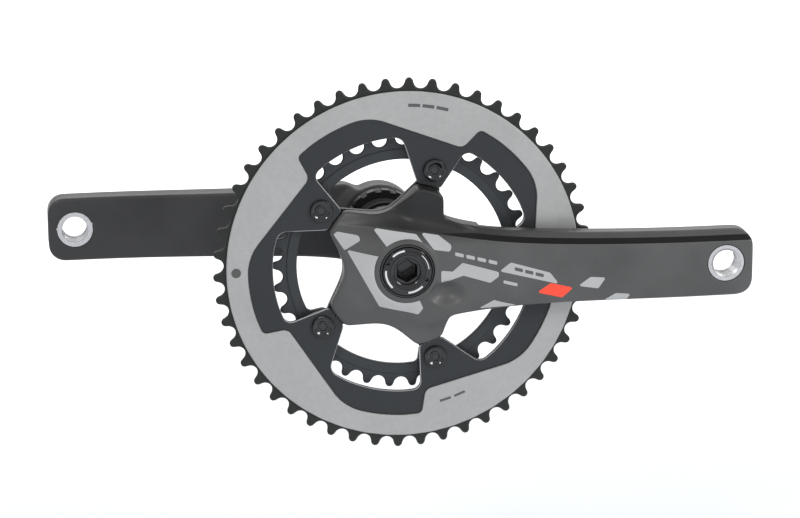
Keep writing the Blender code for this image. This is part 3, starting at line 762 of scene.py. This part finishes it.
def drive_front(x, z):
    """Depth of the drive arm's outer surface: hub, legs and blade, crease, collar and scoop."""
    radius = np.hypot(x, z)
    blade = arm_front(x) - 0.9 * soft_positive(arm_bottom(x) + 1.0 - z, 0.8)
    blade = blade - 0.6 * soft_positive(4.0 - x, 1.5)
    legs = leg_face(radius)
    body = legs + soft_positive(blade - legs, 0.7)
    above = soft_positive(z - bevel_line(x), 0.22)
    hub_drop = 0.9 + 3.8 * (1.0 - smooth_step(28.0, 44.0, radius))
    hub_drop = hub_drop * smooth_step(-34.0, 8.0, x) + 0.3
    drop = hub_drop + (CREASE_DROP - hub_drop) * smooth_step(26.0, 44.0, x)
    body = body - drop * np.tanh(1.1 * above / drop)
    off_collar = smooth_step(COLLAR_RADIUS, COLLAR_RADIUS + COLLAR_FLANK, radius)
    body = body + (COLLAR_FACE - HUB_FACE) * (1.0 - off_collar)
    in_scoop = np.maximum(1.0 - ((x - 21.5) / 10.5) ** 2 - ((z + 13.2) / 7.5) ** 2, 0.0)
    return body - 4.2 * in_scoop ** 1.3


def drive_back(x, z):
    radius = np.hypot(x, z)
    inside = np.where(radius < SPIDER_EYE, HUB_BACK, TAB_FRONT + 0.02)
    return np.where(radius < LEG_END + 0.2, inside, arm_back(x))


def left_front(x, z):
    blade = arm_front(x) + 0.2 * (1.0 - smooth_step(18.0, 40.0, np.hypot(x, z)))
    line = np.minimum(bevel_line(np.maximum(x, 30.0)), arm_top(x, LEFT_FLARE) - 2.6)
    above = soft_positive(z - line, 0.22) * smooth_step(14.0, 34.0, x)
    return blade - CREASE_DROP * np.tanh(1.1 * above / CREASE_DROP)


def left_back(x, z):
    radius = np.hypot(x, z)
    return HUB_BACK + (arm_back(x) - HUB_BACK) * smooth_step(21.0, 27.0, radius)


def left_arm_outline():
    start = 19.0
    loop = tip_points(LEFT_FLARE, start, start)
    top_angle = math.degrees(math.atan2(arm_top(start, LEFT_FLARE), start))
    bottom_angle = math.degrees(math.atan2(arm_bottom(start, LEFT_FLARE), start))
    loop += arc(22.0, top_angle + 10.0, bottom_angle + 350.0, 60)
    return relax(resample(loop, OUTLINE_STEP), 12)


def inside_loop(points, loop):
    """Even-odd test of many points against one closed loop."""
    x, z = points[:, 0][:, None], points[:, 1][:, None]
    ax, az = loop[:, 0][None, :], loop[:, 1][None, :]
    bx, bz = np.roll(loop[:, 0], -1)[None, :], np.roll(loop[:, 1], -1)[None, :]
    crosses = (az > z) != (bz > z)
    rise = np.where(bz == az, 1.0, bz - az)
    hit = x < (bx - ax) * (z - az) / rise + ax
    return (crosses & hit).sum(axis=1) % 2 == 1


def distance_to(points, border):
    nearest = np.full(len(points), 1e9)
    for start in range(0, len(border), 400):
        part = border[start:start + 400]
        gaps = np.hypot(points[:, None, 0] - part[None, :, 0], points[:, None, 1] - part[None, :, 1])
        nearest = np.minimum(nearest, gaps.min(axis=1))
    return nearest


def round_off(distance, radius):
    """How far a rounded edge falls, at a distance from the outline."""
    inset = np.clip(radius - distance, 0.0, radius)
    return radius - np.sqrt(np.maximum(radius * radius - inset * inset, 0.0))


def triangulate(borders, inner):
    """Triangles within the first border and outside the others, through the inner points too."""
    edges = []
    start = 0
    for border in borders:
        count = len(border)
        edges += [(start + index, start + (index + 1) % count) for index in range(count)]
        start += count
    points = [Vector(point) for point in np.concatenate(borders + inner)]
    done = geometry.delaunay_2d_cdt(points, edges, [], 0, 1e-5)
    flat = np.array([tuple(vert) for vert in done[0]])
    triangles = np.array(done[2])
    middles = flat[triangles].mean(axis=1)
    keep = inside_loop(middles, borders[0])
    for hole in borders[1:]:
        keep &= ~inside_loop(middles, hole)
    return flat, triangles[keep]


def closed_solid(bm, place, flat, triangles, top, bottom, slots, back_slot):
    """The triangles at two depths, with walls between their borders."""
    upper = [bm.verts.new(place(x, w, z)) for (x, z), w in zip(flat, top)]
    lower = [bm.verts.new(place(x, w, z)) for (x, z), w in zip(flat, bottom)]
    open_edges = {}
    for (a, b, c), slot in zip(triangles, slots):
        bm.faces.new((upper[a], upper[b], upper[c])).material_index = int(slot)
        bm.faces.new((lower[a], lower[c], lower[b])).material_index = back_slot
        for pair in ((a, b), (b, c), (c, a)):
            if open_edges.pop(pair[::-1], None) is None:
                open_edges[pair] = True
    for a, b in open_edges:
        bm.faces.new((upper[a], upper[b], lower[b], lower[a])).material_index = back_slot
    for vert in [vert for vert in bm.verts if not vert.link_faces]:
        bm.verts.remove(vert)


def shell_points(outline, holes, guides):
    """Points inside a smooth shell: rows that follow its borders, guides and a grid."""
    border = np.concatenate([outline] + holes)
    rows = []
    for inset in (0.12, 0.35, 0.75, 1.3, 2.0):
        rows.append(np.array(offset(outline, -inset)))
        rows += [np.array(offset(hole, inset)) for hole in holes]
    rows = [row[np.abs(distance_to(row, border)) > 0.1] for row in rows]
    low, high = outline.min(axis=0), outline.max(axis=0)
    columns = np.arange(low[0], high[0], GRID_STEP)
    grid = []
    for number, z in enumerate(np.arange(low[1], high[1], GRID_STEP * 0.866)):
        shift = 0.5 * GRID_STEP * (number % 2)
        grid += [(x + shift, z) for x in columns]
    grid = np.array(grid)
    grid = grid[distance_to(grid, border) > 2.6]
    grid = grid[distance_to(grid, np.concatenate(guides)) > 0.5 * GRID_STEP]
    extra = [guide[distance_to(guide, border) > 0.3] for guide in guides]
    return rows + extra + [grid]


def carbon_shell(bm, place, outline, guides, front, back, shades):
    """A closed solid between two depth functions, with rounded edges along its outline."""
    holes = arm_holes()
    flat, triangles = triangulate([outline] + holes, shell_points(outline, holes, guides))
    edge_gap = distance_to(flat, resample(outline, 0.15))
    hole_gap = np.minimum(*[distance_to(flat, hole) for hole in holes])
    x, z = flat.T
    top = front(x, z) - round_off(edge_gap, FRONT_ROUNDING) - round_off(hole_gap, HOLE_ROUNDING)
    bottom = back(x, z) + round_off(edge_gap, BACK_ROUNDING)
    slots = shades(*flat[triangles].mean(axis=1).T)
    closed_solid(bm, place, flat, triangles, top, bottom, slots, 2)


def line_guides(heights, start, shifts):
    """Rows of points along and beside a line that runs out to the arm's tip."""
    x = np.arange(start, ARM_TIP, 0.9)
    return [np.stack([x, heights(x) + shift], axis=1) for shift in shifts]


def ring_guides(radii, start, end, steps):
    return [np.array(arc(radius, start, end, steps)) for radius in radii]


def spider_outline():
    loop = []
    for leg in LEGS:
        loop += arc(8.2, leg - 90.0, leg + 90.0, 24, polar(BOLT_CIRCLE, leg))
        loop += window_edge(leg, 1.0, 32)
    return loop


def spider_tabs(bm):
    """The flat star behind the carbon body, which the chainrings are bolted to."""
    outline = (spider_outline(), [(-0.4, TAB_BACK), (0.0, TAB_BACK + 0.4), (0.0, TAB_FRONT)], [2])
    eye = chamfered_hole(circle(SPIDER_EYE, 96), TAB_FRONT, TAB_BACK, 0.3, [2])
    plate(bm, drive_place, outline, [], [eye] + bolt_holes(TAB_FRONT, TAB_BACK, 2), [2, 2])


def shade(x, z):
    """Slots of the outer surface: 0 grey face, 1 near-black band of painted shadow above the crease, 2
    dark beyond it.
    """
    right = x > CREASE_START
    return (right & (z > bevel_line(x))).astype(int) + (right & (z > band_top(x)))


def left_shade(x, z):
    """As the drive arm's, but the round end at the spindle is grey all over."""
    return np.where(x > 26.0, shade(x, z), 0)


def arm_holes():
    hub_hole = circle(HUB_BORE, 110)
    pedal_hole = circle(PEDAL_INSERT_RADIUS + 0.3, 80, (CRANK_LENGTH, 0.0))
    return [np.array(hub_hole), np.array(pedal_hole)]


def crease_guides(start, band_start):
    """Rows of points that keep the crease and the band's upper edge crisp."""
    guides = line_guides(bevel_line, start, (-0.7, -0.3, 0.0, 0.3, 0.7))
    return guides + line_guides(band_top, band_start, (0.0,))


def drive_arm():
    """Carbon arm and spider, with the slots that the shade names."""
    bm = bmesh.new()
    guides = crease_guides(-36.0, 20.0)
    guides += ring_guides((LEG_END + 0.1, LEG_END + 0.3), -28.0, 28.0, 60)
    guides += ring_guides((SPIDER_EYE - 0.1, SPIDER_EYE + 0.1), 0.0, 360.0, 130)
    flank_rows = (0.0, 0.25, 0.55, COLLAR_FLANK)
    guides += ring_guides([COLLAR_RADIUS + row for row in flank_rows], 0.0, 360.0, 110)
    carbon_shell(bm, drive_place, drive_arm_outline(), guides, drive_front, drive_back, shade)
    spider_tabs(bm)
    boss = [(4.0, 48.3), (6.8, 48.3), (6.8, 52.0), (4.0, 52.0)]
    turn_profile(bm, boss, drive_place, 60, (BOLT_CIRCLE, 0.0), 2)
    surfaces = [FACE_CARBON, PAINTED_CREASE_SHADOW, DARK_CARBON]
    add_piece("drive_arm_fine", bm, surfaces, CRANK, ["drive_arm"], 50.0)


def left_arm():
    bm = bmesh.new()
    guides = crease_guides(30.0, 30.0)
    carbon_shell(bm, left_place, left_arm_outline(), guides, left_front, left_back, left_shade)
    surfaces = [LEFT_FACE_CARBON, PAINTED_CREASE_SHADOW, LEFT_DARK_CARBON]
    add_piece("left_arm_fine", bm, surfaces, CRANK, ["left_arm"], 50.0)


# ---------------- patches on the drive arm


def patch(name, corners, surface=GREY_PAINT, lift=0.06):
    """A thin painted patch that lies on the drive arm's outer surface."""
    border = resample(rounded(corners), 0.7)
    low, high = border.min(axis=0), border.max(axis=0)
    columns = np.arange(low[0], high[0], 1.0)
    grid = np.array([(x, z) for x in columns for z in np.arange(low[1], high[1], 1.0)])
    grid = grid[inside_loop(grid, border) & (distance_to(grid, border) > 0.4)]
    flat, triangles = triangulate([border], [grid])
    depth = drive_front(*flat.T)
    bm = bmesh.new()
    slots = np.zeros(len(triangles))
    closed_solid(bm, drive_place, flat, triangles, depth + lift, depth - 0.15, slots, 0)
    add_piece(name, bm, [surface], CRANK, sharp_angle=60.0)


def collar_side(start, end):
    """The side of a patch that follows the round collar, from a start to an end angle."""
    steps = int(abs(end - start) / 6.0)
    return sharp(arc(COLLAR_RADIUS + 0.9, start, end, steps))


def arm_patches():
    """Plain angular patches: light grey with one orange-red accent. Corners are (x, z, fillet)."""
    r = 0.7
    outlines = {
        "patch_leg": [(-38.5, 19.8, r), (-36.5, 21.4, r), (-25.5, 19.8, 2.0), (-24.5, 17.2, 1.5),
                      (-33.0, 11.6, r)],
        "patch_top": collar_side(62.0, 128.0) + [(-17.6, 23.2, r), (-15.6, 23.7, r), (5.0, 20.4, r)],
        "patch_shoulder": [(7.4, 21.2, r), (17.0, 19.4, 2.0), (24.0, 13.6, 1.5), (23.6, 9.8, 1.5),
                           (14.5, 11.4, r)],
        "patch_wedge": collar_side(150.0, 292.0) + [(8.6, -21.0, r), (6.0, -24.5, r),
                                                    (-15.0, -19.5, 1.0), (-32.0, 12.0, r)],
        "patch_bar": [(30.0, 3.6, 1.0), (49.5, -2.0, 1.0), (49.5, -4.5, 0.8), (45.0, -8.0, 1.5),
                      (30.5, -3.6, 0.3), (18.4, -7.6, r), (18.4, -0.4, r), (24.6, -1.2, 0.3)],
        "patch_plate": [(56.0, 3.2, 1.0), (77.0, -2.8, 1.5), (82.0, -9.3, r), (49.8, -1.6, r)],
        "patch_lower_edge": [(38.5, -22.2, 0.3), (47.0, -17.6, r), (51.0, -18.8, r), (60.0, -20.8, 0.3)],
        "patch_red": [(70.0, -13.8, r), (77.5, -8.6, 1.0), (89.5, -11.4, r), (83.5, -16.8, 1.0)],
        "patch_mid": [(92.0, -10.5, r), (98.8, -5.5, 1.0), (107.0, -6.0, r), (103.0, -12.0, 1.0)],
        "patch_tail": [(106.0, -18.6, 0.3), (112.5, -14.8, r), (120.5, -15.4, r), (118.0, -18.6, 0.3)],
    }
    for name, corners in outlines.items():
        patch(name, corners, RED_PAINT if name == "patch_red" else GREY_PAINT)


def slanted_bar(name, x, z, length, height, surface=GREY_PAINT, lift=0.06):
    """A short plain bar that runs down along the arm, as the patches do."""
    end = x + length
    low = z - 0.25 * length
    corners = [(x, z, 0.2), (end, low, 0.2), (end, low - height, 0.2), (x, z - height, 0.2)]
    patch(name, corners, surface, lift)


def printed_arc(name, radius, half, start, end, face, surface):
    """A thin curved bar printed on a face that is square to the spindle."""
    bm = bmesh.new()
    loop = arc(radius + half, start, end, 24) + arc(radius - half, end, start, 24)
    for ring in skin(bm, loop, [(0.0, face - 0.05), (0.0, face + 0.03)]):
        cover(bm, [ring])
    add_piece(name, bm, [surface], CRANK)


def plain_marks():
    """Short plain bars in the places where an original has its printing."""
    for number in range(4):
        slanted_bar(f"arm_mark_{number + 1}", 26.0 + 6.0 * number, 9.6 - 1.5 * number, 4.6, 2.0)
    slanted_bar("arm_mark_5", 52.0, -6.6, 7.5, 1.8)
    for number in range(3):
        name = f"plate_mark_{number + 1}"
        slanted_bar(name, 58.0 + 5.6 * number, 0.6 - 1.5 * number, 4.4, 1.9, MARK_GREY, 0.1)
    for number, degrees in enumerate((84.0, 79.0, 74.0), start=1):
        printed_arc(f"rim_mark_{number}", 88.6, 0.9, degrees, degrees + 4.2, RING_FACE, MARK_GREY)
    for number, degrees in enumerate((284.0, 290.0), start=4):
        printed_arc(f"rim_mark_{number}", 80.0, 0.7, degrees, degrees + 4.5, RING_FACE, MARK_GREY)
    for number, (start, end, half) in enumerate(CAP_MARKS, start=1):
        printed_arc(f"cap_mark_{number}", CAP_PIN_CIRCLE + 0.1, half, start, end, CAP_FACE, MARK_LIGHT)


# ---------------- fasteners, hub and bearings


def star_socket(outer, inner, centre):
    """The outline of a six-lobed socket."""
    loop = []
    for degrees in range(0, 360, 5):
        wave = 0.5 + 0.5 * math.cos(math.radians(6.0 * degrees))
        x, z = polar(inner + (outer - inner) * wave, degrees)
        loop.append((centre[0] + x, centre[1] + z))
    return loop


def chainring_bolt(number, leg):
    """Domed bolt head with a conical dish and a six-lobed socket."""
    bm = bmesh.new()
    centre = polar(BOLT_CIRCLE, leg)
    low = RING_POCKET + 0.3
    face = RING_POCKET + 2.1
    dish_floor = face - 1.2
    dome = [(-0.25, low), (0.0, low + 0.2), (0.0, low + 0.9), (-0.35, face - 0.25), (-0.95, face)]
    bowl = [(0.0, face), (-0.3, face - 0.08), (-0.8, face - 0.3), (-1.4, face - 0.68), (-2.1, dish_floor)]
    bore = [(0.1, dish_floor), (0.0, dish_floor - 0.1), (-0.2, low + 0.1)]
    back_edge, front_edge = skin(bm, circle(6.2, 64, centre), dome)
    dish_edge, dish_end = skin(bm, circle(5.2, 64, centre), bowl)
    socket_edge, socket_end = skin(bm, star_socket(2.6, 1.9, centre), bore)
    cover(bm, [front_edge, dish_edge])
    cover(bm, [dish_end, socket_edge])
    cover(bm, [socket_end], 1)
    cover(bm, [back_edge])
    surfaces = [BLACK_MIRROR, BOSS_ALLOY]
    node = f"chainring_bolt_{number}"
    add_piece(f"ring_bolt_head_{number}", bm, surfaces, CRANK, [node])


def crank_bolt():
    """Bolt head with a rounded rim, and a deep hexagon socket that goes on into its shank."""
    bm = bmesh.new()
    face = 59.6
    seat = 55.9
    shank_tip = 38.5
    rim = [(-0.3, seat), (0.0, seat + 0.3), (0.0, face - 0.5), (-0.5, face)]
    hexagon = rounded([(*polar(5.8, 60.0 * corner + 30.0), 0.5) for corner in range(6)])
    bore = [(0.6, face), (0.0, face - 0.9), (0.0, 49.0)]
    shank = [(0.0, seat), (0.0, shank_tip + 0.7), (-0.7, shank_tip)]
    back_edge, front_edge = skin(bm, circle(8.6, 96), rim)
    socket_edge, socket_end = skin(bm, hexagon, bore)
    cover(bm, [front_edge, socket_edge])
    cover(bm, [socket_end])
    shank_edge, shank_end = skin(bm, circle(6.7, 64), shank)
    cover(bm, [back_edge, shank_edge])
    cover(bm, [shank_end])
    add_piece("crank_bolt_fine", bm, [BLACK_GLOSS], CRANK, ["crank_bolt"])


def extractor_cap():
    """Black threaded ring with a groove and two pin holes."""
    bm = bmesh.new()
    face = CAP_FACE
    bore_end = face - 1.5
    rim = [(0.0, CAP_BACK), (0.0, face - 0.6), (-0.2, face - 0.2), (-0.6, face)]
    groove = [(0.0, face), (-0.15, face - 0.3), (-0.6, face - 0.3), (-0.75, face)]
    bore = [(0.9, face), (0.3, face - 0.35), (0.0, face - 0.8), (0.0, bore_end)]
    back_edge, front_edge = skin(bm, circle(CAP_RADIUS, 128), rim)
    groove_out, groove_in = skin(bm, circle(10.0, 96), groove)
    bore_edge, bore_low = skin(bm, circle(7.2, 96), bore)
    pin_edges = []
    for degrees in (155.0, 335.0):
        pin = circle(1.1, 24, polar(CAP_PIN_CIRCLE, degrees))
        pin_rings = [(0.15, face), (0.0, face - 0.15), (0.0, face - 2.2)]
        pin_edge, pin_end = skin(bm, pin, pin_rings)
        pin_edges.append(pin_edge)
        cover(bm, [pin_end])
    cover(bm, [front_edge, groove_out] + pin_edges)
    cover(bm, [groove_in, bore_edge])
    hollow = [(0.0, bore_end), (0.0, CAP_BACK)]
    hollow_edge, hollow_end = skin(bm, circle(9.0, 96), hollow)
    cover(bm, [bore_low, hollow_edge])
    cover(bm, [back_edge, hollow_end])
    add_piece("extractor_cap_fine", bm, [BLACK_MIRROR], CRANK, ["extractor_cap"])


def drive_hub_insert():
    """Metal sleeve bonded into the drive arm, with an inner flange that the bolt pulls on."""
    front = COLLAR_FACE + 0.4
    outer = INSERT_RADIUS
    mouth = INSERT_MOUTH
    profile = [
        (12.3, HUB_BACK), (outer - 0.3, HUB_BACK), (outer, HUB_BACK + 0.3), (outer, front - 0.35),
        (outer - 0.35, front), (mouth + 0.2, front), (mouth, front - 0.2),
        (mouth, 54.6), (7.2, 54.6), (7.2, 53.0), (12.3, 53.0),
    ]
    turned_piece("drive_hub_insert_fine", profile, BOSS_ALLOY, "drive_hub_insert")


def left_dust_cap():
    """Round cap with a shallow groove near its rim."""
    back = 58.85
    face = 60.9
    groove = face - 0.25
    profile = [
        (0.0, back), (13.5, back), (13.8, back + 0.25), (13.8, face - 0.6), (13.4, face - 0.15),
        (12.9, face), (11.2, face), (10.9, groove), (10.5, groove), (10.2, face), (0.0, face),
    ]
    turned_piece("left_cap_fine", profile, NYLON, "left_dust_cap", left_place)


def pedal_insert(side):
    """Bright sleeve with a chamfered rim and thread grooves."""
    face = ARM_FACE - 0.15
    back = ARM_FACE - ARM_THICKNESS
    outer = PEDAL_INSERT_RADIUS
    pitch = 1.27
    profile = [(7.6, back), (outer, back), (outer, face - 0.15), (outer - 0.15, face)]
    profile += [(8.1, face), (7.8, face - 0.3)]
    w = face - 0.9
    while w > back + pitch:
        profile += [(7.0, w), (7.0, w - 0.15), (7.6, w - 0.62), (7.6, w - 0.75)]
        w -= pitch
    name = f"{side}_insert_fine"
    node = f"{side}_pedal_insert"
    turned_piece(name, profile, INSERT_ALLOY, node, SIDES[side], 80, (CRANK_LENGTH, 0.0))


def notched_circle(radius, notch_radius, count):
    loop = []
    step = 360.0 / count
    half = math.degrees(notch_radius / radius)
    for notch in range(count):
        middle = (notch + 0.25) * step
        loop += arc(radius, middle + half - step, middle - half, 5)
        loop += arc(notch_radius, middle + 268.0, middle + 92.0, 10, polar(radius + 0.15, middle))
    return loop


def bearing_cup(side):
    """Threaded cup with a notched flange."""
    bm = bmesh.new()
    end = 24.0
    shoulder = CUP_SHOULDER
    mouth = 45.5
    body = [(16.0, end), (CUP_THREAD - 0.4, end), (CUP_THREAD, end + 0.4)]
    w = end + 1.0
    while w < shoulder - 1.5:
        body += [(CUP_THREAD, w), (CUP_THREAD - 0.6, w + 0.5), (CUP_THREAD, w + 1.0)]
        w += 1.06
    body += [(CUP_THREAD, shoulder), (CUP_BODY, shoulder), (CUP_BODY, mouth - 0.6)]
    body += [(CUP_BODY - 0.4, mouth), (19.1, mouth), (18.8, mouth - 0.3)]
    body += [(18.8, 37.0), (14.5, 37.0), (14.5, shoulder + 0.5), (16.0, shoulder + 0.5)]
    turn_profile(bm, body, SIDES[side], 128)
    front = CUP_FLANGE_FACE
    rim = [(-0.3, shoulder), (0.0, shoulder + 0.3), (0.0, front - 0.4), (-0.4, front)]
    hole = (circle(CUP_BODY, 128), [(0.0, front), (0.0, shoulder)], [0])
    flange = (notched_circle(CUP_FLANGE, 1.9, 16), rim, [0])
    plate(bm, SIDES[side], flange, [], [hole], [0, 0])
    add_piece(f"{side}_cup_fine", bm, [CUP_ALLOY], FIXED, [f"{side}_cup"])


def carried_over_nodes():
    """Finish for the CAD nodes whose own shape is shown."""
    finishes = {
        "hidden_chainring_bolt": BLACK_GLOSS,
        "index_rivet": GREY_ALLOY,
        "left_hub_insert": CUP_ALLOY,
        "center_sleeve": NYLON,
        "right_bearing_seal": NYLON,
        "left_bearing_seal": NYLON,
    }
    for name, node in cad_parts.items():
        surface = finishes.get(name, BLACK_GLOSS if name.startswith("chainring") else STEEL)
        node.data.materials.clear()
        node.data.materials.append(surface)


# ---------------- stage


def camera():
    """Camera on the viewing direction, rolled a little, with its frame as wide as VIEW_WIDTH."""
    azimuth = math.radians(VIEW_AZIMUTH)
    elevation = math.radians(VIEW_ELEVATION)
    level = Vector((math.sin(azimuth), -math.cos(azimuth), 0.0))
    outward = level * math.cos(elevation) + Vector((0.0, 0.0, math.sin(elevation)))
    data = bpy.data.cameras.new("camera")
    data.lens = data.sensor_width * VIEW_DISTANCE / VIEW_WIDTH
    data.clip_start = 0.05
    made = new_object("camera", data)
    made.location = VIEW_TARGET + outward * VIEW_DISTANCE
    made.rotation_euler = (-outward).to_track_quat("-Z", "Y").to_euler()
    made.rotation_euler.rotate_axis("Z", math.radians(-VIEW_ROLL))
    bpy.context.scene.camera = made


def area_light(name, location, target, size, power):
    data = bpy.data.lights.new(name, "AREA")
    data.shape = "RECTANGLE"
    data.size = size[0]
    data.size_y = size[1]
    data.energy = power
    light = new_object(name, data)
    light.location = location
    light.rotation_euler = (Vector(target) - Vector(location)).to_track_quat("-Z", "Y").to_euler()


def pale_floor():
    """Nearly white floor, with painted shade that makes it a little greyer towards -Y."""
    shader = Shader("floor_paint", 0.9)
    # Painted shade: the colour runs from grey at -Y to near white far off in +Y.
    far = shader.smooth_range(shader.axis("Y"), 0.1, 1.6)
    mixed = shader.math("ADD", far, shader.math("MULTIPLY", shader.noise(3.0), 0.01))
    ramp = shader.ramp(mixed, [(0.0, (0.60, 0.615, 0.64)), (1.0, (0.97, 0.97, 0.97))])
    shader.link(ramp, shader.main.inputs["Base Color"])
    fill(shader.main, {"Specular IOR Level": 0.1})
    return shader.material


def floor_plane():
    mesh = bpy.data.meshes.new("floor")
    bm = bmesh.new()
    bmesh.ops.create_grid(bm, x_segments=1, y_segments=1, size=12.0)
    bm.to_mesh(mesh)
    bm.free()
    mesh.materials.append(pale_floor())
    floor = new_object("floor", mesh)
    floor.location = (0.0, 0.0, FLOOR_HEIGHT)


def studio():
    """Even white surroundings, a key light, a window on the right and a light on the far floor."""
    bpy.context.scene.view_settings.view_transform = "Standard"
    world = bpy.data.worlds.new("studio")
    bpy.context.scene.world = world
    world.use_nodes = True
    backdrop = world.node_tree.nodes["Background"]
    fill(backdrop, {"Color": (0.99, 0.995, 1.0, 1.0), "Strength": 0.78})
    area_light("key", (-0.8, -1.4, 0.9), (0.0, 0.0, 0.0), (0.3, 0.3), 6.5)
    area_light("window", (1.1, -1.03, 0.7), (0.0, 0.0, 0.0), (0.42, 0.5), 12.0)
    area_light("far_floor", (0.0, 3.2, 3.0), (0.0, 3.0, FLOOR_HEIGHT), (6.0, 4.0), 230.0)


def main():
    camera()
    floor_plane()
    studio()
    outer_chainring()
    inner_chainring()
    drive_arm()
    left_arm()
    arm_patches()
    for number, leg in enumerate(LEGS[1:], start=1):
        chainring_bolt(number, leg)
    crank_bolt()
    extractor_cap()
    plain_marks()
    drive_hub_insert()
    left_dust_cap()
    for piece_of_side in (pedal_insert, bearing_cup):
        for side in SIDES:
            piece_of_side(side)
    carried_over_nodes()


main()
